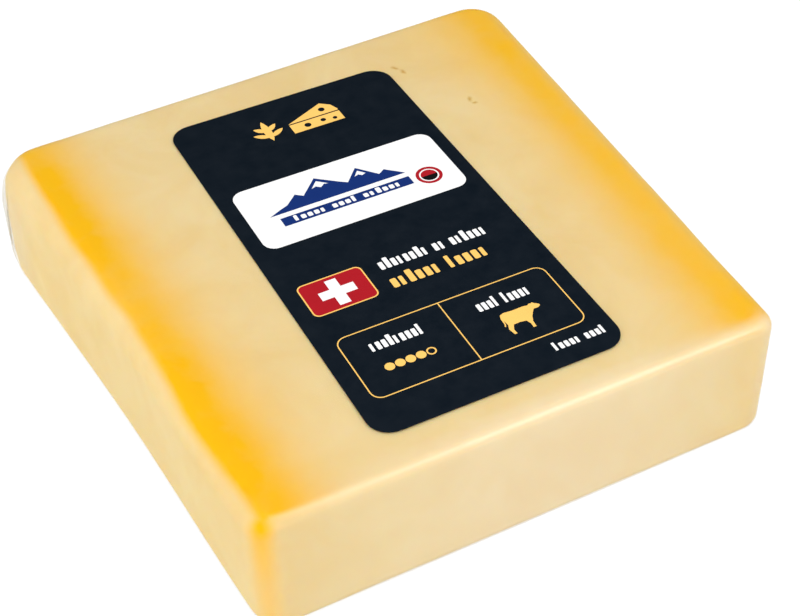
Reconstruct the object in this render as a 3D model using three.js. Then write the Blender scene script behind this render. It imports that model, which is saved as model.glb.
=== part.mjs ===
// A packed block of semi-hard cheese: a nearly square slab with soft edges, in a
// close clear film, with a printed label on its top face.
// Millimetres, +Z up, the block resting on its underside at z = 0.
// +Y runs from the front edge to the wider rear edge, +X to the right.
import * as THREE from 'three';

// ---- Block, measured over its film ------------------------------------------
const HEIGHT = 24.2;            // underside to the rim of the top face
const DEPTH = 101.5;            // front edge to rear edge, along the middle
const REAR_WIDTH = 99.7;
const FRONT_WIDTH = 87.3;
const REAR_TURN = 1.8;          // degrees the rear edge is turned in plan
const FRONT_TURN = 0.2;         // degrees the front edge is turned in plan
const REAR_LEFT_FOOT = 1.6;     // how far the rear left foot stands out past the top
const CORNER_REAR_LEFT = 6.6;   // plan radii of the four upright corners
const CORNER_REAR_RIGHT = 6.7;
const CORNER_FRONT_RIGHT = 4.0;
const CORNER_FRONT_LEFT = 5.1;
const EDGE_LEFT = 4.5;          // rounding of the top edge on each side
const EDGE_RIGHT = 4.0;
const EDGE_FRONT = 1.8;
const EDGE_REAR = 3.8;
const EDGE_BOTTOM = 3.0;        // rounding of the bottom edge
const TOP_CROWN = 0.3;          // the top face swells by this much in its middle
const LEFT_HOLLOW = 0.6;        // the left side is drawn in by this much half way along

// ---- Film --------------------------------------------------------------------
const FILM = 0.14;              // thickness of both films
const GAP = 0.32;               // clearance between neighbouring pieces
const LIP = 6.0;                // width of the film turned in, at the front and rear
const LID_MARGIN = 0.4;         // flat film's edge to the start of the bottom edge's rounding

// ---- Label -------------------------------------------------------------------
const LABEL_WIDTH = 42.0;
const LABEL_CORNER = 4.8;
const LABEL_THICK = 0.12;
const LABEL_FRONT_MARGIN = 7.0; // front edge of the block to the label
const LABEL_REAR_MARGIN = 11.6; // rear edge of the block to the label
const LABEL_SHIFT = -0.3;       // label centre from the block's centre line

// ---- Fineness of the mesh ------------------------------------------------------
const CORNER_STEPS = 8;
const SIDE_STEPS = 7;
const EDGE_STEPS = 7;
const TOP_RINGS = 8;
const LABEL_CORNER_STEPS = 6;
const LABEL_SIDE_STEPS = 6;
const LABEL_RINGS = 6;

const rad = (deg) => (deg * Math.PI) / 180;
const mix = (a, b, t) => a + (b - a) * t;

// Plan corners, in the order rear left, rear right, front right, front left.
function corners(foot) {
  const rear = DEPTH / 2;
  const wr = REAR_WIDTH / 2;
  const wf = FRONT_WIDTH / 2;
  const tr = Math.tan(rad(REAR_TURN));
  const tf = Math.tan(rad(FRONT_TURN));
  const spread = foot ? REAR_LEFT_FOOT : 0;
  return [
    [-wr - spread, rear - wr * tr],
    [wr, rear + wr * tr],
    [wf, -rear + wf * tf],
    [-wf, -rear - wf * tf],
  ];
}

const unit = ([x, y]) => {
  const l = Math.hypot(x, y);
  return [x / l, y / l];
};

// Rounded outline of the block in plan, as points with outward normals.
function outline(foot) {
  const q = corners(foot);
  const radii = [CORNER_REAR_LEFT, CORNER_REAR_RIGHT, CORNER_FRONT_RIGHT, CORNER_FRONT_LEFT];
  const hollow = [0, 0, 0, LEFT_HOLLOW];
  const arcs = q.map((p, i) => {
    const prev = q[(i + 3) % 4];
    const next = q[(i + 1) % 4];
    const a = unit([prev[0] - p[0], prev[1] - p[1]]);
    const b = unit([next[0] - p[0], next[1] - p[1]]);
    const half = Math.acos(a[0] * b[0] + a[1] * b[1]) / 2;
    const m = unit([a[0] + b[0], a[1] + b[1]]);
    const r = radii[i];
    const c = [p[0] + (m[0] * r) / Math.sin(half), p[1] + (m[1] * r) / Math.sin(half)];
    const outwards = (n) => (n[0] * m[0] + n[1] * m[1] > 0 ? [-n[0], -n[1]] : n);
    const from = outwards([a[1], -a[0]]);
    const to = outwards([-b[1], b[0]]);
    const start = Math.atan2(from[1], from[0]);
    let turn = Math.atan2(to[1], to[0]) - start;
    if (turn > Math.PI) turn -= 2 * Math.PI;
    if (turn < -Math.PI) turn += 2 * Math.PI;
    const pts = [];
    for (let k = 0; k <= CORNER_STEPS; k++) {
      const t = start + (turn * k) / CORNER_STEPS;
      const n = [Math.cos(t), Math.sin(t)];
      pts.push({ p: [c[0] + n[0] * r, c[1] + n[1] * r], n });
    }
    return pts;
  });
  const out = [];
  for (let i = 0; i < 4; i++) {
    out.push(...arcs[i]);
    const s = arcs[i][CORNER_STEPS];
    const e = arcs[(i + 1) % 4][0];
    for (let k = 1; k < SIDE_STEPS; k++) {
      const t = k / SIDE_STEPS;
      const draw = -hollow[i] * Math.sin(Math.PI * t) ** 2;
      const n = unit([mix(s.n[0], e.n[0], t), mix(s.n[1], e.n[1], t)]);
      out.push({ p: [mix(s.p[0], e.p[0], t) + n[0] * draw, mix(s.p[1], e.p[1], t) + n[1] * draw], n });
    }
  }
  return out.reverse(); // anticlockwise seen from above
}

const TOP = outline(false);
const FOOT = outline(true);
const COUNT = TOP.length;

// The whole part is set so that its plan box is centred on the origin.
const xs = [...TOP, ...FOOT].map((o) => o.p[0]);
const ys = [...TOP, ...FOOT].map((o) => o.p[1]);
const CX = (Math.min(...xs) + Math.max(...xs)) / 2;
const CY = (Math.min(...ys) + Math.max(...ys)) / 2;

// Point i of the outline at height z, drawn in by inset.
function at(i, z, inset) {
  const t = Math.min(1, Math.max(0, z / HEIGHT));
  const o = TOP[i];
  const f = FOOT[i];
  const ax = o.p[0] - o.n[0] * inset;
  const ay = o.p[1] - o.n[1] * inset;
  const bx = f.p[0] - f.n[0] * inset;
  const by = f.p[1] - f.n[1] * inset;
  return [mix(bx, ax, t) - CX, mix(by, ay, t) - CY, z];
}

// One closed level loop round the block.
const loop = (z, inset) => TOP.map((_, i) => at(i, z, inset));

// Rounding of the top edge at each point, blended round the corners.
const EDGE_TOP = TOP.map(({ n: [nx, ny] }) => {
  const across = nx < 0 ? EDGE_LEFT : EDGE_RIGHT;
  const lengthwise = ny < 0 ? EDGE_FRONT : EDGE_REAR;
  return across * nx * nx + lengthwise * ny * ny;
});

// The rim where the top face begins, which the crown starts from.
const RIM = TOP.map((_, i) => at(i, HEIGHT, EDGE_TOP[i]));
const RIM_CX = RIM.reduce((a, p) => a + p[0], 0) / COUNT;
const RIM_CY = RIM.reduce((a, p) => a + p[1], 0) / COUNT;

// Swell of the top face: share is 0 at its centre and 1 at its rim.
const swell = (share) => TOP_CROWN * (1 - Math.min(1, share) ** 2) ** 1.5;

// How far out a plan point lies, as a share of the way to the rim.
function shareAt(x, y) {
  const dx = x - RIM_CX;
  const dy = y - RIM_CY;
  if (Math.hypot(dx, dy) < 1e-9) return 0;
  for (let i = 0; i < COUNT; i++) {
    const a = RIM[i];
    const b = RIM[(i + 1) % COUNT];
    const ax = a[0] - RIM_CX;
    const ay = a[1] - RIM_CY;
    const ex = b[0] - a[0];
    const ey = b[1] - a[1];
    const den = dx * ey - dy * ex;
    if (Math.abs(den) < 1e-12) continue;
    const k = (ax * ey - ay * ex) / den;
    const u = (ax * dy - ay * dx) / den;
    if (k > 0 && u >= -1e-9 && u <= 1 + 1e-9) return 1 / k;
  }
  return 1;
}

// Loops of the top face from its rim inwards, lowered by drop.
function topLoops(drop) {
  const loops = [];
  for (let k = TOP_RINGS - 1; k >= 1; k--) {
    const s = k / TOP_RINGS;
    loops.push(RIM.map((p) => [mix(RIM_CX, p[0], s), mix(RIM_CY, p[1], s), HEIGHT - drop + swell(s)]));
  }
  return loops;
}
const topCentre = (drop) => [RIM_CX, RIM_CY, HEIGHT - drop + swell(0)];

// Loops up the side at a third and two thirds of the height.
const side = (shell) => [loop(HEIGHT / 3, shell), loop((2 * HEIGHT) / 3, shell)];

// Loops round the top edge, from the side up to the rim.
function topEdge(shell) {
  const loops = [];
  for (let k = 0; k <= EDGE_STEPS; k++) {
    const a = (Math.PI / 2) * (k / EDGE_STEPS);
    loops.push(EDGE_TOP.map((edge, i) => {
      const r = edge - shell;
      return at(i, HEIGHT - edge + r * Math.sin(a), edge - r * Math.cos(a));
    }));
  }
  return loops;
}

// Loops round the bottom edge, from its flat underside up to the side.
function bottomEdge(shell, floor) {
  const r = EDGE_BOTTOM - shell;
  const loops = [];
  for (let k = 0; k <= EDGE_STEPS; k++) {
    const a = (Math.PI / 2) * (k / EDGE_STEPS);
    loops.push(loop(floor + r * (1 - Math.cos(a)), EDGE_BOTTOM - r * Math.sin(a)));
  }
  return loops;
}

// The flat underside's outline at height z, shrunk towards its middle by margin
// at the front and rear.
function shrunk(z, margin) {
  const share = 1 - margin / (DEPTH / 2 - EDGE_BOTTOM);
  return loop(0, EDGE_BOTTOM).map(([x, y]) => [mix(RIM_CX, x, share), mix(RIM_CY, y, share), z]);
}

// Joins a run of equal loops between two centre points into one closed body.
function skin(start, loops, end) {
  const pos = [];
  const idx = [];
  const add = (p) => pos.push(p[0], p[1], p[2]) / 3 - 1;
  const first = add(start);
  const rows = loops.map((l) => l.map(add));
  const last = add(end);
  const n = rows[0].length;
  for (let i = 0; i < n; i++) {
    const j = (i + 1) % n;
    idx.push(first, rows[0][j], rows[0][i]);
    for (let k = 0; k + 1 < rows.length; k++) {
      const a = rows[k][i];
      const b = rows[k][j];
      const c = rows[k + 1][j];
      const d = rows[k + 1][i];
      idx.push(a, b, c, a, c, d);
    }
    const m = rows.length - 1;
    idx.push(rows[m][i], rows[m][j], last);
  }
  return geometry(pos, idx);
}

function geometry(pos, idx) {
  const g = new THREE.BufferGeometry();
  g.setAttribute('position', new THREE.Float32BufferAttribute(pos, 3));
  g.setIndex(idx);
  g.computeVertexNormals();
  return g;
}

function piece(name, geom, colour, roughness, opacity = 1) {
  const mat = new THREE.MeshStandardMaterial({
    name,
    color: new THREE.Color(colour),
    roughness,
    metalness: 0,
    transparent: opacity < 1,
    opacity,
  });
  const mesh = new THREE.Mesh(geom, mat);
  mesh.name = name;
  return mesh;
}

// ---- Cheese block ------------------------------------------------------------
const SHELL = FILM + GAP;                 // film and its clearance
const CHEESE_FLOOR = FILM + GAP + FILM + GAP;
const cheese = skin(
  [RIM_CX, RIM_CY, CHEESE_FLOOR],
  [...bottomEdge(SHELL, CHEESE_FLOOR), ...side(SHELL), ...topEdge(SHELL), ...topLoops(SHELL)],
  topCentre(SHELL),
);

// ---- Close film over the top and sides, its lip turned in below ---------------
// Walked from the inner centre of the top, down the inside, round the lip's inner
// edge, and back up the outside to the outer centre of the top.
const innerRun = [
  ...topLoops(FILM).reverse(),
  ...topEdge(FILM).reverse(),
  ...side(FILM).reverse(),
  ...bottomEdge(FILM, FILM).reverse(),
  shrunk(FILM, LIP),
];
const outerRun = [
  shrunk(0, LIP),
  ...bottomEdge(0, 0),
  ...side(0),
  ...topEdge(0),
  ...topLoops(0),
];
const pocket = skin(topCentre(FILM), [...innerRun, ...outerRun], topCentre(0));

// ---- Flat film across the underside, above the lip ---------------------------
const LID_LOW = FILM + GAP;
const lid = skin(
  [RIM_CX, RIM_CY, LID_LOW],
  [shrunk(LID_LOW, LID_MARGIN), shrunk(LID_LOW + FILM, LID_MARGIN)],
  [RIM_CX, RIM_CY, LID_LOW + FILM],
);

// ---- Printed label on the top face -------------------------------------------
const LABEL_LENGTH = DEPTH - LABEL_FRONT_MARGIN - LABEL_REAR_MARGIN;
const LABEL_X = LABEL_SHIFT - CX;
const LABEL_Y = -DEPTH / 2 + LABEL_FRONT_MARGIN + LABEL_LENGTH / 2 - CY;

function labelLoop(share, lift) {
  const hw = LABEL_WIDTH / 2;
  const hl = LABEL_LENGTH / 2;
  const r = LABEL_CORNER;
  const pts = [];
  const centres = [
    [hw - r, -hl + r, -90],
    [hw - r, hl - r, 0],
    [-hw + r, hl - r, 90],
    [-hw + r, -hl + r, 180],
  ];
  centres.forEach(([cx, cy, start], i) => {
    for (let k = 0; k <= LABEL_CORNER_STEPS; k++) {
      const a = rad(start + (90 * k) / LABEL_CORNER_STEPS);
      pts.push([cx + r * Math.cos(a), cy + r * Math.sin(a)]);
    }
    const s = pts[pts.length - 1];
    const [nx, ny, ns] = centres[(i + 1) % 4];
    const e = [nx + r * Math.cos(rad(ns)), ny + r * Math.sin(rad(ns))];
    for (let k = 1; k < LABEL_SIDE_STEPS; k++) {
      const t = k / LABEL_SIDE_STEPS;
      pts.push([mix(s[0], e[0], t), mix(s[1], e[1], t)]);
    }
  });
  return pts.map(([x, y]) => {
    const px = LABEL_X + x * share;
    const py = LABEL_Y + y * share;
    return [px, py, HEIGHT + swell(shareAt(px, py)) + lift];
  });
}

const labelCentre = (lift) => [LABEL_X, LABEL_Y, HEIGHT + swell(shareAt(LABEL_X, LABEL_Y)) + lift];
const shares = Array.from({ length: LABEL_RINGS }, (_, k) => (k + 1) / LABEL_RINGS);
const label = skin(
  labelCentre(GAP),
  [
    ...shares.map((s) => labelLoop(s, GAP)),
    ...[...shares].reverse().map((s) => labelLoop(s, GAP + LABEL_THICK)),
  ],
  labelCentre(GAP + LABEL_THICK),
);

const part = new THREE.Group();
part.name = 'packed_cheese_block';
part.add(
  piece('cheese_block', cheese, '#efd398', 0.45),
  piece('pocket_film', pocket, '#f6f4ee', 0.12, 0.25),
  piece('lid_film', lid, '#f6f4ee', 0.12, 0.25),
  piece('front_label', label, '#111b25', 0.3),
);
export default part;
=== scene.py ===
"""A block of semi-hard cheese in close clear film, with a printed label on its top face.

It is laid out as a Blender add-on and run as a script. Lengths in the tables below are
millimetres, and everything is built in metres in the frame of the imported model.
"""

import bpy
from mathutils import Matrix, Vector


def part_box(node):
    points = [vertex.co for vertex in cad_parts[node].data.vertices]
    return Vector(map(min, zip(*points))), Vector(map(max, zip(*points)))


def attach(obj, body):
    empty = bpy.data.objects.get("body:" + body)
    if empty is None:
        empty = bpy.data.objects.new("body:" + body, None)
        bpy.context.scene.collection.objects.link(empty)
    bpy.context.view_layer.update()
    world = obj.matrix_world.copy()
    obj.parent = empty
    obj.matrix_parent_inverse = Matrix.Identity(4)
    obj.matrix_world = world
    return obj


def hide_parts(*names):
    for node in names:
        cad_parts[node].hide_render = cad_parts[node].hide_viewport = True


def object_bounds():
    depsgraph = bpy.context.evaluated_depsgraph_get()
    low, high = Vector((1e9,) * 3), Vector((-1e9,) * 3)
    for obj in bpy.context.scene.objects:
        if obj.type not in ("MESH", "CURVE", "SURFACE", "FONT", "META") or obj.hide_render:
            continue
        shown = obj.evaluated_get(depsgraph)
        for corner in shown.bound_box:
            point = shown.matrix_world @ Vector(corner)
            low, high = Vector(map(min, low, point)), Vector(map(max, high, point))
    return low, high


bl_info = {
    "name": "Packed cheese block",
    "version": (1, 0, 0),
    "blender": (4, 5, 0),
    "location": "View3D > Sidebar > Cheese",
    "description": "Builds a film-packed block of cheese with its printed label",
    "category": "Object",
}

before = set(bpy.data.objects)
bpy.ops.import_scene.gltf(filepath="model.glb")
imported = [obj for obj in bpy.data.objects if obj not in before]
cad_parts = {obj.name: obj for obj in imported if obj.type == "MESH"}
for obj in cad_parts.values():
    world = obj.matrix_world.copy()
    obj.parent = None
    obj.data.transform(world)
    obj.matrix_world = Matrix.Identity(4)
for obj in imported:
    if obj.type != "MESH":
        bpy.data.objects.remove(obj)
cad_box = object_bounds()

import math

import bpy
from bpy.props import FloatProperty, FloatVectorProperty, IntProperty, PointerProperty
from mathutils import Matrix, Vector, noise
from mathutils.bvhtree import BVHTree
from mathutils.geometry import delaunay_2d_cdt

MM = 0.001
LOW, HIGH = Vector(cad_box[0]), Vector(cad_box[1])
FILM_HIGH = Vector(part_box("pocket_film")[1])
LABEL_LOW, LABEL_HIGH = (Vector(corner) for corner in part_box("front_label"))


# ---- Small helpers ---------------------------------------------------------------


def colour(code):
    """Turns an sRGB hex code such as "#EED094" into linear red, green and blue."""
    parts = [int(code[i:i + 2], 16) / 255 for i in (1, 3, 5)]
    return tuple(c / 12.92 if c <= 0.04045 else ((c + 0.055) / 1.055) ** 2.4 for c in parts)


def ramp(low, high, value):
    """0 below low, 1 above high, and a smooth step between them. It falls if low is above high."""
    t = min(1.0, max(0.0, (value - low) / (high - low)))
    return t * t * (3 - 2 * t)


def hump(centre, half_width, value):
    """A smooth bump that is 1 at centre and 0 at half_width either side."""
    return ramp(half_width, 0.0, abs(value - centre))


def new_object(name, data):
    """Puts a mesh, a light or a camera into the scene."""
    obj = bpy.data.objects.new(name, data)
    bpy.context.scene.collection.objects.link(obj)
    return obj


def apply_modifiers(obj):
    """Replaces the object's mesh by what its modifiers make of it."""
    graph = bpy.context.evaluated_depsgraph_get()
    made = bpy.data.meshes.new_from_object(obj.evaluated_get(graph))
    obj.modifiers.clear()
    obj.data = made


def shade_smooth(mesh):
    mesh.polygons.foreach_set("use_smooth", [True] * len(mesh.polygons))
    mesh.update()


def add_attribute(mesh, name, values):
    """Gives the mesh one number for each vertex, for its material to read."""
    mesh.attributes.new(name, "FLOAT", "POINT").data.foreach_set("value", values)


# ---- Material helpers ------------------------------------------------------------


def new_material(name):
    """An empty node tree with its output. Returns the material and its tree."""
    material = bpy.data.materials.new(name)
    material.use_nodes = True
    tree = material.node_tree
    tree.nodes.clear()
    tree.nodes.new("ShaderNodeOutputMaterial").name = "output"
    return material, tree


def add_node(tree, kind, links=None, values=None, **settings):
    """Adds a node, sets its properties and plain socket values, and links its inputs."""
    node = tree.nodes.new(kind)
    for key, value in settings.items():
        setattr(node, key, value)
    for key, value in (values or {}).items():
        node.inputs[key].default_value = value
    for key, socket in (links or {}).items():
        tree.links.new(socket, node.inputs[key])
    return node


def set_stops(node, stops):
    """Gives a colour ramp its stops, as (position, value or colour)."""
    elements = node.color_ramp.elements
    while len(elements) < len(stops):
        elements.new(0.5)
    for element, (position, value) in zip(elements, stops):
        shade = value if isinstance(value, (tuple, list)) else (value, value, value)
        element.position = position
        element.color = (*shade[:3], 1.0)


def per_metre(size_mm):
    """The noise scale that gives features of this size in millimetres."""
    return 1.0 / (size_mm * MM)


# ---- Settings a user would change -------------------------------------------------


class BlockSettings(bpy.types.PropertyGroup):
    """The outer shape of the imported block. Its outline comes from the frame."""

    edge_left: FloatProperty(
        name="Left edge", description="Radius of the top edge on the left", unit="LENGTH",
        default=4.5 * MM, min=1 * MM, max=5 * MM,
    )
    edge_right: FloatProperty(
        name="Right edge", description="Radius of the top edge on the right", unit="LENGTH",
        default=3.6 * MM, min=1 * MM, max=5 * MM,
    )
    edge_front: FloatProperty(
        name="Front edge", description="Radius of the top edge at the front", unit="LENGTH",
        default=1.8 * MM, min=1 * MM, max=5 * MM,
    )
    edge_rear: FloatProperty(
        name="Rear edge", description="Radius of the top edge at the rear", unit="LENGTH",
        default=3.8 * MM, min=1 * MM, max=5 * MM,
    )
    edge_bottom: FloatProperty(
        name="Bottom edge", description="Radius of the bottom edge", unit="LENGTH",
        default=3.0 * MM, min=1 * MM, max=4 * MM,
    )
    crown: FloatProperty(
        name="Crown", description="How far the top face swells in its middle", unit="LENGTH",
        default=0.3 * MM, min=0, max=1 * MM,
    )
    film: FloatProperty(
        name="Film thickness", description="Thickness of the clear film", unit="LENGTH",
        default=0.1 * MM, min=0.02 * MM, max=0.3 * MM,
    )
    lip: FloatProperty(
        name="Lip", description="Width of the film turned in under the block", unit="LENGTH",
        default=6 * MM, min=0, max=20 * MM,
    )


class CheeseSettings(bpy.types.PropertyGroup):
    """The cheese itself."""

    paste: FloatVectorProperty(
        name="Paste", description="Colour of the cut paste", subtype="COLOR",
        default=colour("#DDC795"), min=0, max=1,
    )
    paste_warm: FloatVectorProperty(
        name="Warm paste", description="Second colour of the mottled paste", subtype="COLOR",
        default=colour("#DABF87"), min=0, max=1,
    )
    amber: FloatVectorProperty(
        name="Amber margin", description="Colour of the darker paste along the sides of the top",
        subtype="COLOR", default=colour("#E8B000"), min=0, max=1,
    )
    clearance: FloatProperty(
        name="Clearance", description="Room left between paste and film", unit="LENGTH",
        default=0.04 * MM, min=0.02 * MM, max=0.3 * MM,
    )
    unevenness: FloatProperty(
        name="Unevenness", description="Height of the gentle waves in the pressed faces",
        unit="LENGTH", default=0.05 * MM, min=0, max=0.2 * MM,
    )


class FilmSettings(bpy.types.PropertyGroup):
    """The clear film round the cheese."""

    loose_corner: FloatProperty(
        name="Loose corner", description="How far the film stands off the rear left corner",
        unit="LENGTH", default=1.3 * MM, min=0, max=3 * MM,
    )
    roughness: FloatProperty(
        name="Roughness", description="Softness of the film's gloss", default=0.27, min=0, max=1
    )


class LabelSettings(bpy.types.PropertyGroup):
    """The printed label. Its size comes from the frame."""

    corner: FloatProperty(
        name="Corner radius", description="Radius of the label's corners", unit="LENGTH",
        default=3.8 * MM, min=0, max=10 * MM,
    )
    thickness: FloatProperty(
        name="Thickness", description="Thickness of the printed sheet", unit="LENGTH",
        default=0.1 * MM, min=0.02 * MM, max=0.3 * MM,
    )
    cells: IntProperty(
        name="Cells", description="Squares across the label that let it follow the block",
        default=10, min=2, max=40,
    )


class StageSettings(bpy.types.PropertyGroup):
    """The camera's place and the light."""

    azimuth: FloatProperty(
        name="Azimuth", description="How far round to the left the camera stands", subtype="ANGLE",
        default=math.radians(25.5),
    )
    elevation: FloatProperty(
        name="Elevation", description="How far the camera looks down", subtype="ANGLE",
        default=math.radians(42.3),
    )
    roll: FloatProperty(
        name="Roll", description="Lean of the camera", subtype="ANGLE", default=math.radians(-2.2)
    )
    distance: FloatProperty(
        name="Distance", description="From the camera to the point it aims at", unit="LENGTH",
        default=264.3 * MM,
    )
    aim: FloatVectorProperty(
        name="Aim", description="The point the camera looks at", subtype="XYZ", unit="LENGTH",
        default=(0.7 * MM, -8.8 * MM, 11.53 * MM),
    )
    lens: FloatProperty(
        name="Lens", description="Focal length on a 36 mm wide sensor", default=72.27, min=10
    )


# ---- Shape of the block --------------------------------------------------------------

ROUND_STEPS = 12    # facets across each rounded edge
SIDE_ROWS = 16      # rows of faces up the sides
CAP_RINGS = 64      # rings of faces across the top and the underside
FRAME_FILM = 0.25 * MM     # the two faces of the frame's film lie closer than this
SAME_LEVEL = 0.004 * MM    # vertices of the frame's film this close in height are level
FEWEST_PLACES = 24         # an outline with fewer points than this has gone wrong
OUTLINE_STEP = 1.15 * MM   # longest step round the outline


def smooth_loop(points, cuts):
    """A closed curve through the points. The step after each point is cut into cuts[i] pieces.

    It is a centripetal Catmull-Rom curve, which makes no loops where points lie close.
    """
    made = []
    count = len(points)
    for i in range(count):
        p = [points[(i + k) % count] for k in (-1, 0, 1, 2)]
        t = [0.0]
        for a, b in zip(p, p[1:]):
            t.append(t[-1] + math.sqrt((b - a).length))
        for k in range(cuts[i]):
            at = t[1] + (t[2] - t[1]) * k / cuts[i]
            row = p
            for spans in (
                [(t[0], t[1]), (t[1], t[2]), (t[2], t[3])],
                [(t[0], t[2]), (t[1], t[3])],
                [(t[1], t[2])],
            ):
                row = [
                    row[j].lerp(row[j + 1], (at - low) / (high - low))
                    for j, (low, high) in enumerate(spans)
                ]
            made.append(row[0])
    return made


class Envelope:
    """The block's outer skin, taken from the outline of the frame's film at two heights."""

    def __init__(self, cfg):
        self.cfg = cfg
        self.height = FILM_HIGH.z - cfg.crown
        self.low = outline_at(self.height / 3)
        self.high = outline_at(self.height * 2 / 3)
        self.count = len(self.low)
        places = [p for p, _ in self.high]
        steps = [(places[(i + 1) % self.count] - p).length for i, p in enumerate(places)]
        self.cuts = [max(2, math.ceil(step / OUTLINE_STEP)) for step in steps]
        self.edges = evened([self.top_edge(normal) for _, normal in self.high], places)
        rim = [self.point(i, self.height, edge) for i, edge in enumerate(self.edges)]
        self.middle = sum(rim, Vector()) / self.count

    def top_edge(self, normal):
        """Radius of the top edge where the side faces this way, blended round the corners."""
        cfg = self.cfg
        across = cfg.edge_left if normal.x < 0 else cfg.edge_right
        lengthwise = cfg.edge_front if normal.y < 0 else cfg.edge_rear
        return across * normal.x ** 2 + lengthwise * normal.y ** 2

    def point(self, i, z, inset):
        """Point i of the skin at height z, drawn in by inset."""
        (a, na), (b, nb) = self.low[i], self.high[i]
        t = 3 * z / self.height - 1
        p = (a - na * inset).lerp(b - nb * inset, t)
        return Vector((p.x, p.y, z))

    def loop(self, z, insets):
        """The skin's outline at height z, drawn in by one inset for each point."""
        return smooth_loop([self.point(i, z, inset) for i, inset in enumerate(insets)], self.cuts)

    def level(self, z, inset):
        """The skin's outline at height z, drawn in by the same inset all round."""
        return self.loop(z, [inset] * self.count)

    def shrunk(self, z, margin):
        """The flat underside's outline at height z, shrunk towards its middle."""
        share = 1 - margin / (FILM_HIGH.y - self.cfg.edge_bottom)
        middle = Vector((self.middle.x, self.middle.y, z))
        flat = self.level(0, self.cfg.edge_bottom)
        return [middle.lerp(Vector((p.x, p.y, z)), share) for p in flat]

    def cap(self, ring, swell):
        """Rings from a level loop in towards its middle, and the middle itself."""
        middle = Vector((self.middle.x, self.middle.y, ring[0].z))
        loops = []
        for k in range(CAP_RINGS - 1, 0, -1):
            share = k / CAP_RINGS
            rise = Vector((0, 0, swell * (1 - share * share) ** 1.5))
            loops.append([middle.lerp(p, share) + rise for p in ring])
        return loops, middle + Vector((0, 0, swell))

    def up_the_side(self, shell, floor):
        """Loops from the flat underside up the side to the top, round both edges."""
        quarter = [math.pi / 2 * k / ROUND_STEPS for k in range(ROUND_STEPS + 1)]
        edge = self.cfg.edge_bottom
        r = edge - shell
        loops = [self.level(floor + r * (1 - math.cos(a)), edge - r * math.sin(a)) for a in quarter]
        start = floor + r
        for k in range(1, SIDE_ROWS):
            share = k / SIDE_ROWS
            row = [
                self.point(i, start + (self.height - top - start) * share, shell)
                for i, top in enumerate(self.edges)
            ]
            loops.append(smooth_loop(row, self.cuts))
        for a in quarter:
            row = []
            for i, top in enumerate(self.edges):
                up, out = (top - shell) * math.sin(a), (top - shell) * math.cos(a)
                row.append(self.point(i, self.height - top + up, top - out))
            loops.append(smooth_loop(row, self.cuts))
        return loops


def outline_at(z):
    """Points and outward normals round the outside of the frame's film at height z."""
    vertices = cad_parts["pocket_film"].data.vertices
    places = {
        (round(v.co.x, 6), round(v.co.y, 6)) for v in vertices if abs(v.co.z - z) < SAME_LEVEL
    }
    level = [Vector(place) for place in places]

    def has_partner_outside(p):
        further = p.length + 0.05 * FRAME_FILM
        return any((q - p).length < FRAME_FILM and q.length > further for q in level)

    outer = [p for p in level if not has_partner_outside(p)]
    if len(outer) < FEWEST_PLACES:
        raise RuntimeError("the film has no outline at this height")
    outer.sort(key=lambda p: math.atan2(p.y, p.x))
    made = []
    for i, p in enumerate(outer):
        along = (outer[(i + 1) % len(outer)] - outer[i - 1]).normalized()
        made.append((Vector((p.x, p.y, 0)), Vector((along.y, -along.x, 0))))
    return made


def evened(values, places, reach=4 * MM):
    """The values averaged with their neighbours round a closed loop of places."""
    count = len(values)
    spans = [(places[(i + 1) % count] - places[i - 1]).length / 2 for i in range(count)]
    made = []
    for here in places:
        weights = [
            span * math.exp(-((here - p).length / reach) ** 2) for p, span in zip(places, spans)
        ]
        made.append(sum(w * v for w, v in zip(weights, values)) / sum(weights))
    return made


def skin_mesh(name, start, loops, end):
    """One closed mesh through equal loops, ending in a point at each side."""
    count = len(loops[0])
    verts = [start] + [p for loop in loops for p in loop] + [end]
    last = len(verts) - 1
    faces = []
    for i in range(count):
        j = (i + 1) % count
        faces.append((0, 1 + j, 1 + i))
        for k in range(len(loops) - 1):
            low, high = 1 + k * count, 1 + (k + 1) * count
            faces.append((low + i, low + j, high + j, high + i))
        top = 1 + (len(loops) - 1) * count
        faces.append((top + i, top + j, last))
    mesh = bpy.data.meshes.new(name)
    mesh.from_pydata(verts, [], faces)
    return mesh


# ---- Creases and the loose corner, shared by the cheese and its film -------------------

PASTE_FOLLOWS = 0.6        # how far the paste follows the film out at the loose corner
LOOSE_BACK = 7.0           # the loose film is widest this many mm in front of the rear corner
CREASE_WAVER = 0.6         # how far a crease wavers, in millimetres
CREASES = (
    # middle of each short crease in the top, its bearing in degrees, and its length
    ((23.5, 37.4), -58, 1.5),
    ((24.3, 35.6), -86, 1.8),
    ((30.7, 22.0), -106, 1.6),
    ((31.0, 20.6), -12, 0.7),
)


def loose_film(point, proud):
    """How far, and which way, the film stands off at the rear left corner, and how loose it is."""
    corner = Vector((LOW.x, HIGH.y, 0)) / MM
    p = point / MM
    height = (point.z - LOW.z) / (HIGH.z - LOW.z)
    near = ramp(15.0, 3.0, math.hypot(p.x - corner.x - 2.0, p.y - corner.y + LOOSE_BACK))
    belly = ramp(0.02, 0.35, height) * ramp(0.99, 0.6, height)
    on_the_sides = p.x < corner.x + 7 or p.y > corner.y - 5
    loose = near * belly if on_the_sides else 0.0

    # three soft upright folds, with finer ones between them
    bearing = (p.y - corner.y) * 0.8 + (p.x - corner.x) * 0.35
    folds = 0.75 + 0.3 * math.sin(1.35 * bearing + 1.6 * height)
    folds += 0.12 * math.sin(3.3 * bearing - 3 * height)
    return Vector((-0.86, 0.5, 0.0)) * proud * loose * folds, loose


# ---- Cheese ------------------------------------------------------------------------


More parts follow.
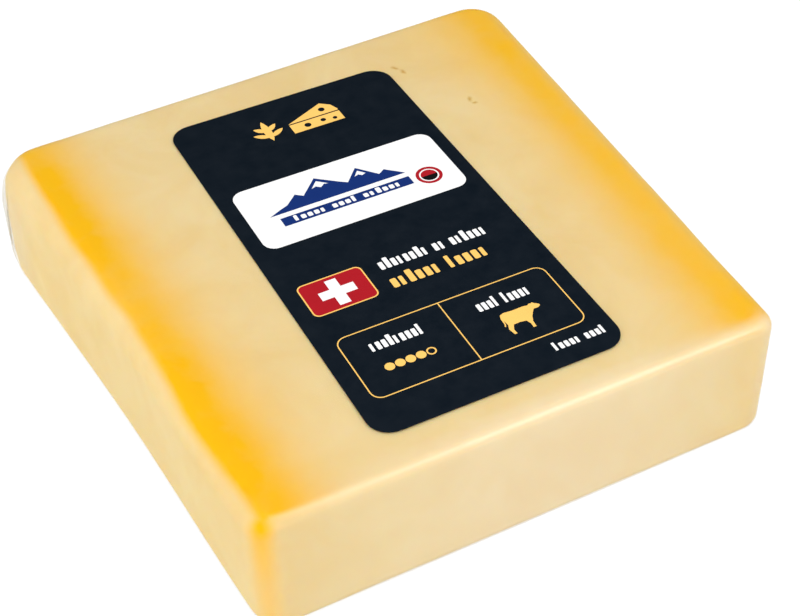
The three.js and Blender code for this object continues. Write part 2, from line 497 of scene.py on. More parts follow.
def side_line(mesh, sign):
    """The upright side's line in plan, x = a + b y, fitted to the block's own mesh."""
    upper = 0.72 * HIGH.z  # clear of the rounded edges, as are the limits below of the corners
    rows = [
        v.co for v in mesh.vertices
        if abs(v.co.z - upper) < 0.12 * HIGH.z
        and abs(v.co.y) < 0.36 * (HIGH.y - LOW.y)
        and v.co.x * sign > 0.3 * (HIGH.x - LOW.x)
    ]
    mean_x = sum(p.x for p in rows) / len(rows)
    mean_y = sum(p.y for p in rows) / len(rows)
    shear = sum((p.x - mean_x) * (p.y - mean_y) for p in rows)
    slope = shear / sum((p.y - mean_y) ** 2 for p in rows)
    return mean_x - slope * mean_y, slope


def from_side(point, line, sign):
    """Millimetres from a side line in towards the middle of the block."""
    a, b = line
    return -sign * (point.x - (a + b * point.y)) / math.sqrt(1 + b * b) / MM


def amber_at(point, left, right):
    """How amber the paste is at a point, from 0 in the cream middle to 1 at its strongest."""
    top = ramp(HIGH.z / MM - 7.0, HIGH.z / MM - 4.0, point.z / MM)
    front = (point.y - LOW.y) / MM
    along = (point.y - LOW.y) / (HIGH.y - LOW.y)
    wave = noise.noise(Vector((point.x * 20, point.y * 45, 3.1)))

    # a band that starts abruptly beside the pale left edge and fades inwards
    inward = from_side(point, left, -1)
    start = 1.2 + 1.4 * ramp(0.12, 0.5, along) + ramp(0.78, 0.95, along)
    start += 0.5 * noise.noise(Vector((0.7, point.y * 130, 8.2)))
    strong = 1.0 - 0.13 * hump(0.5, 0.2, along) - 0.1 * ramp(0.86, 0.95, along)
    past = max(0.0, inward - 4.1 - 1.3 * ramp(0.1, 0.6, along))
    band = ramp(start - 0.8, start + 1.0, inward) * math.exp(-(past / (7.3 + 0.8 * wave)) ** 1.8)
    left_amber = strong * band * ramp(1.0, 0.93, along) * ramp(0.5, 2.2, front)

    # a softer band that reaches out over the right edge
    inward = from_side(point, right, 1)
    width = 7.4 + 2.8 * ramp(0.65, 0.9, along) - 0.3 * hump(0.14, 0.12, along) + wave
    outer = ramp(-2.2 - 3.5 * ramp(0.3, 0.05, along), 4.2, inward)
    band = outer * math.exp(-(max(0.0, inward - 5.4) / width) ** 1.5)
    strong = 0.84 + 0.1 * hump(0.05, 0.12, along) + 0.06 * hump(0.8, 0.2, along)
    right_amber = strong * band * ramp(1.0, 0.985, along) * ramp(0.8, 3.6, front)
    return top * max(left_amber, right_amber)


def corner_line_at(point, left):
    """How amber the upright front left corner is: strong at the top and fading downwards."""
    inward = from_side(point, left, -1)
    front = (point.y - LOW.y) / MM
    height = point.z / HIGH.z
    down = 0.38 + 0.32 * ramp(0.35, 0.8, height) + 0.3 * ramp(0.78, 0.92, height)
    return down * ramp(4.0, 1.8, front) * hump(1.1 + 0.5 * ramp(0.8, 1.0, height), 2.5, inward)


def face_tint_at(point):
    """A faint amber tint at the right end of the front face."""
    across = (point.x - LOW.x) / (HIGH.x - LOW.x)
    return 0.1 * ramp(0.8, 0.9, across) * ramp(6.0, 2.0, (point.y - LOW.y) / MM)


class CHEESE_OT_build_block(bpy.types.Operator):
    """Build the cheese: a pressed slab with soft edges, cream inside amber margins"""

    bl_idname = "cheese.build_block"
    bl_label = "Cheese block"

    def execute(self, context):
        cfg = context.scene.cheese_settings
        envelope = Envelope(context.scene.block_settings)
        shell = envelope.cfg.film + cfg.clearance
        floor = 2 * shell
        walls = envelope.up_the_side(shell, floor)
        under, bottom = envelope.cap(walls[0], 0)
        over, top = envelope.cap(walls[-1], envelope.cfg.crown)
        mesh = skin_mesh("cheese_paste", bottom, [*under[::-1], *walls, *over], top)
        left, right = side_line(mesh, -1), side_line(mesh, 1)
        proud = context.scene.film_settings.loose_corner
        normals = [v.normal.copy() for v in mesh.vertices]
        for vertex, normal in zip(mesh.vertices, normals):
            p = vertex.co.copy()
            hollow = min(0.0, noise.fractal(p * per_metre(16), 0.6, 2.0, 3) - 1.0)
            hollow *= cfg.unevenness * ramp(floor / MM, floor / MM + 2, p.z / MM)
            vertex.co = p + normal * hollow + PASTE_FOLLOWS * loose_film(p, proud)[0]
        block = new_object("cheese_paste", mesh)
        add_attribute(mesh, "amber", [
            max(amber_at(v.co, left, right), corner_line_at(v.co, left), face_tint_at(v.co))
            for v in mesh.vertices
        ])
        mesh.materials.append(pressed_paste(cfg))
        shade_smooth(mesh)
        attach(block, "root")
        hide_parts("cheese_block")
        return {"FINISHED"}


def pressed_paste(cfg):
    """Semi-hard cheese, pressed and cut: a dense, slightly oily paste.

    Light goes a few millimetres in, so its edges glow and its shadows stay warm.
    The margins that lay near the rind are deeper in colour.
    """
    material, tree = new_material("pressed cheese paste")
    place = add_node(tree, "ShaderNodeTexCoord").outputs["Object"]
    amber = add_node(tree, "ShaderNodeAttribute", attribute_name="amber").outputs["Fac"]

    # cloudy mottling, from patches about 14 mm across down to 2 mm
    clouds = add_node(
        tree, "ShaderNodeTexNoise", {"Vector": place},
        {"Scale": per_metre(14), "Detail": 4.0, "Roughness": 0.62, "Distortion": 0.6},
    )
    patches = add_node(tree, "ShaderNodeValToRGB", {"Fac": clouds.outputs["Fac"]})
    set_stops(patches, [(0.34, 0.0), (0.68, 1.0)])
    paste = add_node(
        tree, "ShaderNodeMix", {"Factor": patches.outputs["Color"]},
        {"A": (*cfg.paste, 1), "B": (*cfg.paste_warm, 1)}, data_type="RGBA",
    )

    # the amber margin, broken up by soft drifts about 5 mm across
    drift = add_node(
        tree, "ShaderNodeTexNoise", {"Vector": place},
        {"Scale": per_metre(5), "Detail": 3.0, "Roughness": 0.55, "Distortion": 0.4},
    )
    spread = add_node(
        tree, "ShaderNodeMapRange", {"Value": drift.outputs["Fac"]},
        {"From Min": 0.3, "From Max": 0.7, "To Min": 0.94, "To Max": 1.08},
    )
    margin = add_node(
        tree, "ShaderNodeMath", {0: amber, 1: spread.outputs["Result"]},
        operation="MULTIPLY", use_clamp=True,
    )
    body = add_node(
        tree, "ShaderNodeMix", {"Factor": margin.outputs["Value"], "A": paste.outputs["Result"]},
        {"B": (*cfg.amber, 1)}, data_type="RGBA",
    )

    # painted shade: the paste darkened to brown along the short wavering creases that stand in the
    # film over the top
    waver = add_node(
        tree, "ShaderNodeTexNoise", {"Vector": place}, {"Scale": per_metre(0.9), "Detail": 1.0}
    )
    bent = add_node(
        tree, "ShaderNodeVectorMath", {0: waver.outputs["Color"], 2: place},
        {1: (CREASE_WAVER * MM,) * 3}, operation="MULTIPLY_ADD",
    )
    for (cx, cy), bearing, length in CREASES:
        local = add_node(
            tree, "ShaderNodeMapping", {"Vector": bent.outputs["Vector"]},
            {
                "Location": (
                    (cx + CREASE_WAVER / 2) * MM, (cy + CREASE_WAVER / 2) * MM, FILM_HIGH.z
                ),
                "Rotation": (0, 0, math.radians(bearing)),
                "Scale": ((length / 2 + 0.3) * MM, 0.55 * MM, 3 * MM),
            },
            vector_type="TEXTURE",
        )
        away = add_node(
            tree, "ShaderNodeVectorMath", {0: local.outputs["Vector"]}, operation="LENGTH"
        )
        crease_shade = add_node(
            tree, "ShaderNodeMapRange", {"Value": away.outputs["Value"]},
            {"From Min": 1.0, "From Max": 0.0, "To Min": 0.0, "To Max": 0.8},
        )
        # lay the brownish painted crease shade over the paste
        body = add_node(
            tree, "ShaderNodeMix",
            {"Factor": crease_shade.outputs["Result"], "A": body.outputs["Result"]},
            {"B": (*colour("#B88414"), 1)}, data_type="RGBA",
        )

    # curd grain about 1 mm across, pressed nearly smooth
    grain = add_node(
        tree, "ShaderNodeTexNoise", {"Vector": place},
        {"Scale": per_metre(1.1), "Detail": 2.0, "Roughness": 0.5},
    )
    relief = add_node(
        tree, "ShaderNodeBump", {"Height": grain.outputs["Fac"]},
        {"Strength": 0.06, "Distance": 0.05 * MM},
    )
    shader = add_node(
        tree, "ShaderNodeBsdfPrincipled",
        {"Base Color": body.outputs["Result"], "Normal": relief.outputs["Normal"]},
        {
            "Roughness": 0.6,
            "IOR": 1.45,
            "Specular IOR Level": 0.12,
            "Subsurface Weight": 0.55,
            "Subsurface Radius": (1.0, 0.55, 0.22),
            "Subsurface Scale": 2.2 * MM,
        },
    )
    tree.links.new(shader.outputs["BSDF"], tree.nodes["output"].inputs["Surface"])
    return material


# ---- Film --------------------------------------------------------------------------

TOP_DEPTH = 3 * MM         # creases are only looked for this near the top
CREASE_RISE = 0.08 * MM    # how high a crease stands in the film
LOOSE_HAZE = 0.4           # milkiness of the film where it hangs loosest
LID_HAZE = 0.15            # milkiness of the flat film underneath
LID_MARGIN = 0.4 * MM      # the flat film stops this far short of the block's flat underside
GLINT_LIMIT = 0.09         # strongest gloss of the film, at a glancing angle
MILK_AND_SHEEN = 0.3                 # share of milky white in a film at full haze, which is real haze where the film hangs loose and painted sheen across the front face


def front_painted_sheen(point):
    """Painted sheen: a faint milky veil across the middle of the front face, standing in for the
    film's reflection there, and a painted highlight at the face's right end.
    """
    across = (point.x - LOW.x) / (HIGH.x - LOW.x)
    # painted reflection across the middle, painted highlight at the right end
    sheen_share = 0.33 * hump(0.54, 0.48, across) + 0.25 * hump(0.925, 0.03, across)
    return sheen_share * ramp(5.0, 1.5, (point.y - LOW.y) / MM)


def crease_height(point):
    """Height of the short creases that stand up in the top of the film."""
    height = 0.0
    for (cx, cy), bearing, length in CREASES:
        dx, dy = point.x / MM - cx, point.y / MM - cy
        c, s = math.cos(math.radians(bearing)), math.sin(math.radians(bearing))
        along, across = dx * c + dy * s, -dx * s + dy * c
        height += hump(0, length / 2 + 0.9, along) * hump(0, 1.1, across)
    return height


class CHEESE_OT_build_films(bpy.types.Operator):
    """Build the clear film over the top and sides, and the flat film across the underside"""

    bl_idname = "cheese.build_films"
    bl_label = "Clear films"

    def execute(self, context):
        cfg = context.scene.film_settings
        envelope = Envelope(context.scene.block_settings)
        film, lip = envelope.cfg.film, envelope.cfg.lip
        inner = envelope.up_the_side(film, film)
        outer = envelope.up_the_side(0, 0)
        inside, inner_top = envelope.cap(inner[-1], envelope.cfg.crown)
        outside, outer_top = envelope.cap(outer[-1], envelope.cfg.crown)
        turned_in = [envelope.shrunk(film, lip), envelope.shrunk(0, lip)]
        run = [*inside[::-1], *inner[::-1], *turned_in, *outer, *outside]
        mesh = skin_mesh("clear_pocket_film", inner_top, run, outer_top)
        pocket = new_object("clear_pocket_film", mesh)
        haze_and_sheen, looseness = [], []
        for vertex in mesh.vertices:
            p = vertex.co.copy()
            shift, loose = loose_film(p, cfg.loose_corner)
            crease = crease_height(p) if p.z > HIGH.z - TOP_DEPTH else 0.0
            vertex.co = p + shift + Vector((0, 0, CREASE_RISE * crease))
            # real milky haze where the film hangs loose, painted sheen across the front face
            haze_and_sheen.append(max(LOOSE_HAZE * loose, front_painted_sheen(vertex.co)))
            looseness.append(loose)
        add_attribute(mesh, "haze_and_sheen", haze_and_sheen)
        add_attribute(mesh, "loose", looseness)
        mesh.materials.append(shrunk_film(cfg))
        shade_smooth(mesh)

        rims = [envelope.shrunk(z, LID_MARGIN) for z in (1.2 * film, 2.2 * film)]
        low, low_middle = envelope.cap(rims[0], 0)
        high, high_middle = envelope.cap(rims[1], 0)
        run = [*low[::-1], *rims, *high]
        mesh = skin_mesh("clear_lid_film", low_middle, run, high_middle)
        lid = new_object("clear_lid_film", mesh)
        for vertex in mesh.vertices:
            place = Vector((vertex.co.x, vertex.co.y, 0))
            vertex.co.z += 0.1 * film * noise.noise(place * per_metre(9))
        add_attribute(mesh, "haze_and_sheen", [LID_HAZE] * len(mesh.vertices))
        mesh.materials.append(shrunk_film(cfg))
        shade_smooth(mesh)

        for piece, node in ((pocket, "pocket_film"), (lid, "lid_film")):
            piece.visible_shadow = False
            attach(piece, "root")
            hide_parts(node)
        return {"FINISHED"}


def shrunk_film(cfg):
    """Shrink film, blown thin and drawn tight by heat: clear, with a soft gloss.

    It shows as pale glints along the block's edges, and as a milky veil where it
    stands loose in folds. The same milky layer paints a sheen across the front face,
    standing in for its reflection. The gloss grows towards glancing angles, up to a limit.
    """
    material, tree = new_material("clear shrink film")
    place = add_node(tree, "ShaderNodeTexCoord").outputs["Object"]
    haze_and_sheen = add_node(tree, "ShaderNodeAttribute", attribute_name="haze_and_sheen").outputs["Fac"]

    # slow waves about 11 mm long, as the film bridges hollows in the paste
    waves = add_node(
        tree, "ShaderNodeTexNoise", {"Vector": place},
        {"Scale": per_metre(11), "Detail": 2.0, "Roughness": 0.5, "Distortion": 0.3},
    )
    relief = add_node(
        tree, "ShaderNodeBump", {"Height": waves.outputs["Fac"]},
        {"Strength": 0.3, "Distance": 0.12 * MM},
    )
    sheen = add_node(
        tree, "ShaderNodeBsdfGlossy", {"Normal": relief.outputs["Normal"]},
        {"Color": (1, 1, 1, 1), "Roughness": cfg.roughness},
    )

    # clear, and a little grey where it is loose and doubled in folds
    loose = add_node(tree, "ShaderNodeAttribute", attribute_name="loose").outputs["Fac"]
    tint = add_node(tree, "ShaderNodeMapRange", {"Value": loose}, {"To Min": 1.0, "To Max": 0.955})
    clear = add_node(tree, "ShaderNodeBsdfTransparent", {"Color": tint.outputs["Result"]})

    # the gloss lies on the outside only
    fresnel = add_node(
        tree, "ShaderNodeFresnel", {"Normal": relief.outputs["Normal"]}, {"IOR": 1.45}
    )
    inside = add_node(tree, "ShaderNodeNewGeometry").outputs["Backfacing"]
    outside = add_node(tree, "ShaderNodeMath", {1: inside}, {0: 1.0}, operation="SUBTRACT")
    glint = add_node(
        tree, "ShaderNodeMath", {0: fresnel.outputs["Fac"], 1: outside.outputs["Value"]},
        operation="MULTIPLY",
    )
    soft = add_node(
        tree, "ShaderNodeMath", {0: glint.outputs["Value"]}, {1: GLINT_LIMIT}, operation="MINIMUM"
    )
    surface = add_node(
        tree, "ShaderNodeMixShader",
        {0: soft.outputs["Value"], 1: clear.outputs["BSDF"], 2: sheen.outputs["BSDF"]},
    )
    # a milky white layer: real haze in the loose folds and under the block, painted sheen on the
    # front face
    milk_and_sheen = add_node(tree, "ShaderNodeBsdfDiffuse", values={"Color": (*colour("#F2F1EC"), 1)})
    veil = add_node(tree, "ShaderNodeMath", {0: haze_and_sheen}, {1: MILK_AND_SHEEN}, operation="MULTIPLY")
    veiled = add_node(
        tree, "ShaderNodeMixShader",
        {0: veil.outputs["Value"], 1: surface.outputs["Shader"], 2: milk_and_sheen.outputs["BSDF"]},
    )
    tree.links.new(veiled.outputs["Shader"], tree.nodes["output"].inputs["Surface"])
    return material


# ---- Label -------------------------------------------------------------------------
# The print is laid out in millimetres from the label's front left corner, u to the
# right and v to the rear. Later shapes are printed over earlier ones.

LABEL_LIFT = 0.02 * MM     # the label's underside clears the film by this
ABOVE = 20 * MM            # the label is dropped onto the film from this far above it
INKS = {
    "navy": "#08141F",
    "white": "#EFEFEF",
    "gold": "#F3C266",
    "red": "#A80F1D",
    "blue": "#0B2C70",
    "black": "#0B0B0D",
}


def block_shape(u0, v0, u1, v1):
    return [(u0, v0), (u1, v0), (u1, v1), (u0, v1)]


def rounded_shape(u0, v0, u1, v1, radius, steps=6):
    """A rectangle with round corners."""
    points = []
    for cu, cv, start in (
        (u1 - radius, v0 + radius, -90), (u1 - radius, v1 - radius, 0),
        (u0 + radius, v1 - radius, 90), (u0 + radius, v0 + radius, 180),
    ):
        for k in range(steps + 1):
            a = math.radians(start + 90 * k / steps)
            points.append((cu + radius * math.cos(a), cv + radius * math.sin(a)))
    return points


def disc_shape(u, v, radius, steps=28):
    angles = [2 * math.pi * k / steps for k in range(steps)]
    return [(u + radius * math.cos(a), v + radius * math.sin(a)) for a in angles]


def line_of_print(u0, u1, base, tall, words):
    """Small rounded blocks that stand for a line of print, grouped as words, with no letters."""
    pitch = (u1 - u0) / (sum(words) + 0.8 * (len(words) - 1))
    u = u0
    for length in words:
        for k in range(length):
            wide = pitch * (0.5 if (3 * k + length) % 4 == 1 else 0.72)
            top = tall if (2 * k + length) % 5 == 0 else 0.72 * tall
            yield rounded_shape(u, base, u + wide, base + top, 0.22 * wide, 2)
            u += pitch
        u += 0.8 * pitch


def leaf_shape(u, v, bearing, length, width):
    """A pointed leaf from (u, v) along a bearing in degrees."""
    c, s = math.cos(math.radians(bearing)), math.sin(math.radians(bearing))
    shares = (0, 0.15, 0.35, 0.55, 0.75, 0.9, 1)
    side = [(length * t, width / 2 * math.sin(math.pi * t) ** 0.8) for t in shares]
    loop = side + [(a, -b) for a, b in side[-2:0:-1]]
    return [(u + a * c - b * s, v + a * s + b * c) for a, b in loop]


def print_on_label(width, length, corner):
    """All shapes on the label in printing order, as (ink, points)."""
    shapes = [("navy", rounded_shape(0, 0, width, length, corner, 10))]

    def put(ink, *outlines):
        shapes.extend((ink, outline) for outline in outlines)

    # gold mark at the rear: a wedge of cheese with eyes, beside a sprig of five leaves
    wedge = [(19.6, 71.6), (29.2, 71.6), (29.2, 75.0), (28.6, 76.6), (27.0, 77.9), (19.6, 74.6)]
    put("gold", wedge)
    put("navy", [(19.6, 74.25), (29.2, 74.25), (29.2, 74.55), (19.6, 74.55)])
    eyes = ((22.6, 72.9, 0.62), (25.6, 73.0, 0.5), (27.7, 72.6, 0.42), (26.6, 76.0, 0.6))
    put("navy", *(disc_shape(u, v, radius, 16) for u, v, radius in eyes))
    put("gold", leaf_shape(15.6, 71.5, 90, 6.2, 1.5))
    for bearing, rise, size in ((150, 1.2, 3.2), (30, 1.2, 3.2), (140, 2.9, 2.7), (40, 2.9, 2.7)):
        put("gold", leaf_shape(15.6, 71.5 + rise, bearing, size, 1.1))

    # white panel with a blue mountain ridge over a blue bar, and a small red seal
    put("white", rounded_shape(2.7, 44.6, 39.5, 61.0, 2.2))
    put("blue", [
        (6.4, 52.3), (31.2, 52.3), (28.4, 54.9), (27.2, 54.1), (24.3, 57.6), (21.6, 54.6),
        (20.4, 55.5), (17.0, 58.4), (13.6, 54.9), (12.4, 55.9), (10.2, 53.9), (8.6, 53.3),
    ])
    put("white", [
        (17.0, 57.5), (15.5, 55.9), (16.4, 56.2), (17.1, 55.6), (17.9, 56.2), (18.6, 56.0),
    ])
    put("white", [(24.3, 56.7), (23.2, 55.4), (24.0, 55.7), (24.6, 55.2), (25.3, 55.5)])
    put("blue", block_shape(7.7, 49.0, 31.2, 51.2))
    put("white", *line_of_print(9.8, 29.4, 49.5, 1.45, (5, 4, 6)))
    seal = (34.4, 49.8)
    put("red", disc_shape(*seal, 2.3))
    put("white", disc_shape(*seal, 1.7))
    put("black", disc_shape(*seal, 1.45))
    put("red", disc_shape(*seal, 1.45)[:15])  # the upper half of the disc

    # two lines of print beside a red badge with a plain white cross
    put("white", *line_of_print(16.6, 35.8, 31.8, 2.6, (8, 2, 6)))
    put("gold", *line_of_print(16.5, 33.7, 27.1, 3.0, (6, 5)))
    put("gold", rounded_shape(2.8, 26.7, 13.9, 34.6, 1.1))
    put("red", rounded_shape(3.03, 26.93, 13.67, 34.37, 0.9))
    put("white", block_shape(7.4, 27.6, 9.3, 33.7), block_shape(5.4, 29.7, 11.4, 31.6))

    # gold frame in two cells: a strength scale of four dots in five, and an animal
    line, turn = 0.2, 1.8
    put("gold", rounded_shape(3.0, 6.8, 39.0, 21.0, turn))
    put("navy", rounded_shape(3.0 + line, 6.8 + line, 39.0 - line, 21.0 - line, turn - line))
    put("gold", block_shape(20.6 - line / 2, 6.9, 20.6 + line / 2, 20.9))
    put("white", *line_of_print(7.2, 16.2, 16.0, 2.4, (9,)))
    dots = [8.05 + 1.73 * k for k in range(5)]
    put("gold", *(disc_shape(u, 12.1, 0.8, 20) for u in dots))
    put("navy", disc_shape(dots[-1], 12.1, 0.55, 20))
    put("white", *line_of_print(25.4, 34.6, 16.0, 2.4, (4, 5)))
    put("gold", cow_shape(27.0, 9.3))
    put("white", *line_of_print(31.2, 40.3, 3.3, 1.8, (5, 4)))
    return shapes


def cow_shape(u, v):
    """A plain standing cow seen from the side, its head to the right."""
    outline = [
        (0.55, 0.0), (0.95, 0.0), (0.9, 0.9), (1.35, 1.9), (2.4, 1.95), (3.3, 1.75), (3.55, 0.9),
        (3.5, 0.0), (3.95, 0.0), (4.05, 1.2), (4.45, 2.2), (4.9, 2.9), (5.35, 3.5), (6.1, 3.5),
        (6.55, 3.8), (6.5, 4.1), (5.95, 4.6), (5.75, 4.9), (5.55, 4.75), (5.2, 4.85), (4.95, 4.6),
        (4.2, 4.75), (2.6, 4.7), (1.2, 4.85), (0.55, 4.6), (0.3, 3.9), (0.25, 2.6), (0.05, 2.1),
        (0.2, 1.95), (0.42, 2.5), (0.5, 3.3), (0.62, 2.2), (0.3, 1.3),
    ]
    return [(u + 1.1 * a, v + b) for a, b in outline]


def anticlockwise(points):
    """The same outline, turned the way the triangulation wants it."""
    area = sum(a[0] * b[1] - b[0] * a[1] for a, b in zip(points, points[1:] + points[:1]))
    return points if area > 0 else points[::-1]


class CHEESE_OT_build_label(bpy.types.Operator):
    """Build the printed label, laid on the film and following the crown of the block"""

    bl_idname = "cheese.build_label"
    bl_label = "Printed label"

    def execute(self, context):
        cfg = context.scene.label_settings
        width = (LABEL_HIGH.x - LABEL_LOW.x) / MM
        length = (LABEL_HIGH.y - LABEL_LOW.y) / MM
        shapes = print_on_label(width, length, cfg.corner / MM)

        points, edges, faces = [], [], []
        for _, outline in shapes:
            first = len(points)
            points.extend(Vector(p) for p in anticlockwise(outline))
            count = len(points) - first
            faces.append(list(range(first, first + count)))
            edges.extend((first + k, first + (k + 1) % count) for k in range(count))
        cell = width / cfg.cells
        rows = int(length / cell)
        points.extend(
            Vector((cell * (i + 0.5), cell * (j + 0.5)))
            for i in range(cfg.cells) for j in range(rows)
        )
        # sources lists, for each triangle, the shapes it lies in
        flat, _, triangles, _, _, sources = delaunay_2d_cdt(points, edges, faces, 1, 1e-4, True)

        film = bpy.data.objects["clear_pocket_film"].data
        skin = BVHTree.FromPolygons(
            [v.co for v in film.vertices], [tuple(p.vertices) for p in film.polygons]
        )
        down = Vector((0, 0, -1))
        verts = []
        for p in flat:
            x, y = LABEL_LOW.x + p.x * MM, LABEL_LOW.y + p.y * MM
            hit = skin.ray_cast(Vector((x, y, HIGH.z + ABOVE)), down)[0]
            if hit is None:
                raise RuntimeError("the label reaches past the film it lies on")
            verts.append((x, y, hit.z + LABEL_LIFT + cfg.thickness))

        names = list(INKS)
        kept = [(t, max(s)) for t, s in zip(triangles, sources) if s]
        mesh = bpy.data.meshes.new("printed_label")
        mesh.from_pydata(verts, [], [t for t, _ in kept])
        for name in names:
            mesh.materials.append(printed_ink(name, INKS[name]))
        mesh.polygons.foreach_set("material_index", [names.index(shapes[s][0]) for _, s in kept])
        label = new_object("printed_label", mesh)
        sheet = label.modifiers.new("sheet", "SOLIDIFY")
        sheet.thickness = cfg.thickness
        sheet.offset = -1
        apply_modifiers(label)
        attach(label, "root")
        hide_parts("front_label")
        return {"FINISHED"}


def printed_ink(name, code):
    """Offset ink under satin varnish on a coated paper label.

    The ink lies flat and even, with a faint cloudiness in its solid areas. The
    varnish gives it a soft, weak shine, so dark areas stay deep.
    """
    material, tree = new_material(name + " ink under satin varnish")
    place = add_node(tree, "ShaderNodeTexCoord").outputs["Object"]
    cloud = add_node(
        tree, "ShaderNodeTexNoise", {"Vector": place},
        {"Scale": per_metre(3.5), "Detail": 5.0, "Roughness": 0.65},
    )
    tone = colour(code)
    lift = 0.004 if name in ("navy", "black") else 0.0
    ink = add_node(tree, "ShaderNodeValToRGB", {"Fac": cloud.outputs["Fac"]})
    darker = tuple(0.96 * c for c in tone)
    lighter = tuple(min(1.0, 1.03 * c + lift) for c in tone)
    set_stops(ink, [(0.3, darker), (0.7, lighter)])
    fibre = add_node(
        tree, "ShaderNodeTexNoise", {"Vector": place},
        {"Scale": per_metre(0.6), "Detail": 2.0, "Roughness": 0.5},
    )
    relief = add_node(
        tree, "ShaderNodeBump", {"Height": fibre.outputs["Fac"]},
        {"Strength": 0.05, "Distance": 0.02 * MM},
    )
    shader = add_node(
        tree, "ShaderNodeBsdfPrincipled",
        {"Base Color": ink.outputs["Color"], "Normal": relief.outputs["Normal"]},
        {"Roughness": 0.42, "IOR": 1.45, "Specular IOR Level": 0.18},
    )
    tree.links.new(shader.outputs["BSDF"], tree.nodes["output"].inputs["Surface"])
    return material


# ---- Stage -------------------------------------------------------------------------

FLOOR_HALF = 1.5           # half the floor's width, in metres
FLOOR_DROP = 0.02 * MM     # the floor lies this far below the block
LIGHTS = (
    # name, place and size in metres, watts, tint, seen in gloss, lights matt faces
    ("overhead softbox", (-0.10, -0.25, 0.62), (0.5, 0.4), 1.74, "#FFFFFF", True, True),
    ("left panel", (-0.66, -0.02, 0.10), (0.4, 0.3), 1.85, "#FFF8DA", False, True),
    ("front panel", (0.30, -0.60, 0.42), (0.45, 0.1), 1.3, "#FFFFFF", False, True),
    ("front glow", (0.33, -0.53, 0.53), (0.3, 0.5), 3.0, "#FFFFFF", True, False),
)


def add_camera(cfg):
    """Places the camera on a sphere round the point it aims at."""
    away = Vector((math.sin(cfg.azimuth), math.cos(cfg.azimuth), 0))
    forward = away * math.cos(cfg.elevation) + Vector((0, 0, -math.sin(cfg.elevation)))
    level_right = forward.cross(Vector((0, 0, 1))).normalized()
    level_up = level_right.cross(forward)
    right = level_right * math.cos(cfg.roll) + level_up * math.sin(cfg.roll)
    up = right.cross(forward)
    turn = Matrix((right, up, -forward)).transposed().to_4x4()
    place = Vector(cfg.aim) - forward * cfg.distance
    data = bpy.data.cameras.new("camera")
    data.lens = cfg.lens
    data.sensor_width = 36
    data.clip_start = 0.01
    camera = new_object("camera", data)
    camera.matrix_world = Matrix.Translation(place) @ turn
    bpy.context.scene.camera = camera


def add_soft_light(name, place, size, watts, tint, in_gloss, in_diffuse):
    """A rectangular light turned to the middle of the block."""
    data = bpy.data.lights.new(name, "AREA")
    data.shape = "RECTANGLE"
    data.size, data.size_y = size
    data.energy = watts
    data.color = colour(tint)
    light = new_object(name, data)
    light.location = place
    middle = Vector((0, 0, HIGH.z / 2))
    light.rotation_euler = (middle - Vector(place)).to_track_quat("-Z", "Y").to_euler()
    light.visible_glossy = in_gloss
    light.visible_diffuse = in_diffuse


def lit_table():
    """Milk-white acrylic lit from below: even and nearly shadowless.

    The block's own colours carry against it, and its glow lifts the lower faces.
    """
    material, tree = new_material("lit white acrylic")
    place = add_node(tree, "ShaderNodeTexCoord").outputs["Object"]
    mottle = add_node(
        tree, "ShaderNodeTexNoise", {"Vector": place}, {"Scale": per_metre(40), "Detail": 2.0}
    )
    acrylic = add_node(tree, "ShaderNodeValToRGB", {"Fac": mottle.outputs["Fac"]})
    set_stops(acrylic, [(0.3, 0.24), (0.7, 0.26)])
    shader = add_node(
        tree, "ShaderNodeBsdfPrincipled", {"Base Color": acrylic.outputs["Color"]},
        {
            "Roughness": 0.9,
            "Specular IOR Level": 0.1,
            "Emission Color": (1, 1, 1, 1),
            "Emission Strength": 0.85,
        },
    )
    tree.links.new(shader.outputs["BSDF"], tree.nodes["output"].inputs["Surface"])
    return material


def even_surroundings():
    """A white tent of light, much dimmer in reflections, so the film adds no grey veil."""
    world = bpy.data.worlds.new("white tent")
    world.use_nodes = True
    tree = world.node_tree
    tree.nodes.clear()
    output = add_node(tree, "ShaderNodeOutputWorld")
    path = add_node(tree, "ShaderNodeLightPath")
    strength = add_node(
        tree, "ShaderNodeMapRange", {"Value": path.outputs["Is Glossy Ray"]},
        {"To Min": 0.8, "To Max": 0.05},
    )
    sky = add_node(
        tree, "ShaderNodeBackground", {"Strength": strength.outputs["Result"]},
        {"Color": (*colour("#FFFFFF"), 1)},
    )
    tree.links.new(sky.outputs["Background"], output.inputs["Surface"])
    bpy.context.scene.world = world


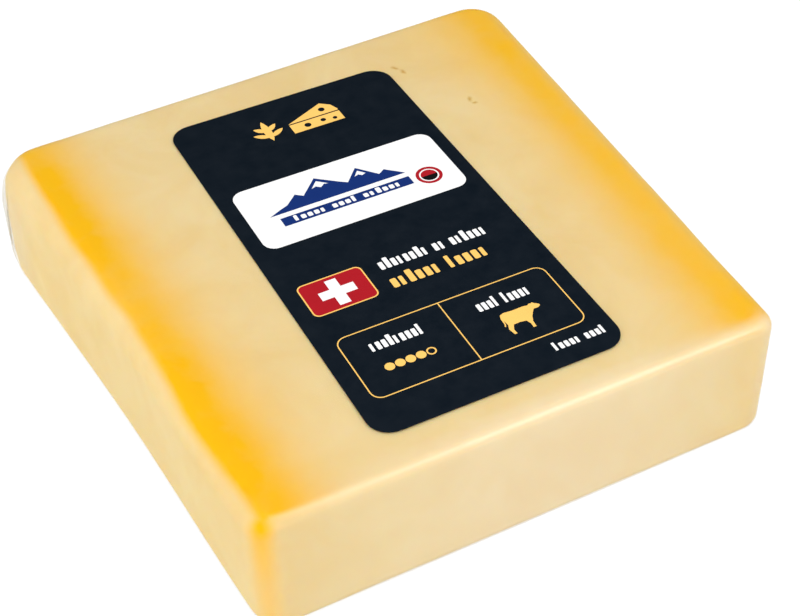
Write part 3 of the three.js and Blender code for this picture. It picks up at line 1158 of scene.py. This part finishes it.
class CHEESE_OT_build_stage(bpy.types.Operator):
    """Build the floor, the soft lights, the surroundings and the camera"""

    bl_idname = "cheese.build_stage"
    bl_label = "Stage"

    def execute(self, context):
        mesh = bpy.data.meshes.new("floor")
        signs = ((-1, -1), (1, -1), (1, 1), (-1, 1))
        corners = [(FLOOR_HALF * x, FLOOR_HALF * y, 0) for x, y in signs]
        mesh.from_pydata(corners, [], [(0, 1, 2, 3)])
        mesh.materials.append(lit_table())
        floor = new_object("floor", mesh)
        floor.location.z = -FLOOR_DROP
        floor.visible_glossy = False
        for light in LIGHTS:
            add_soft_light(*light)
        even_surroundings()
        add_camera(context.scene.stage_settings)
        context.scene.view_settings.view_transform = "Standard"
        return {"FINISHED"}


# ---- Add-on ------------------------------------------------------------------------


class CHEESE_PT_panel(bpy.types.Panel):
    """Lists the steps that build the block"""

    bl_idname = "CHEESE_PT_panel"
    bl_label = "Packed cheese block"
    bl_space_type = "VIEW_3D"
    bl_region_type = "UI"
    bl_category = "Cheese"

    def draw(self, context):
        for step in STEPS:
            self.layout.operator(step.bl_idname)
        for group in SETTINGS:
            settings = getattr(context.scene, group)
            box = self.layout.box()
            for name in settings.bl_rna.properties.keys():
                if name not in ("rna_type", "name"):
                    box.prop(settings, name)


SETTINGS = {
    "block_settings": BlockSettings,
    "cheese_settings": CheeseSettings,
    "film_settings": FilmSettings,
    "label_settings": LabelSettings,
    "stage_settings": StageSettings,
}
STEPS = (
    CHEESE_OT_build_stage, CHEESE_OT_build_block, CHEESE_OT_build_films, CHEESE_OT_build_label,
)


def register():
    for cls in (*SETTINGS.values(), *STEPS, CHEESE_PT_panel):
        bpy.utils.register_class(cls)
    for name, cls in SETTINGS.items():
        setattr(bpy.types.Scene, name, PointerProperty(type=cls))


def unregister():
    for name in SETTINGS:
        delattr(bpy.types.Scene, name)
    for cls in reversed((*SETTINGS.values(), *STEPS, CHEESE_PT_panel)):
        bpy.utils.unregister_class(cls)


def main():
    register()
    bpy.ops.cheese.build_stage()
    bpy.ops.cheese.build_block()
    bpy.ops.cheese.build_films()
    bpy.ops.cheese.build_label()


if __name__ == "__main__":
    main()
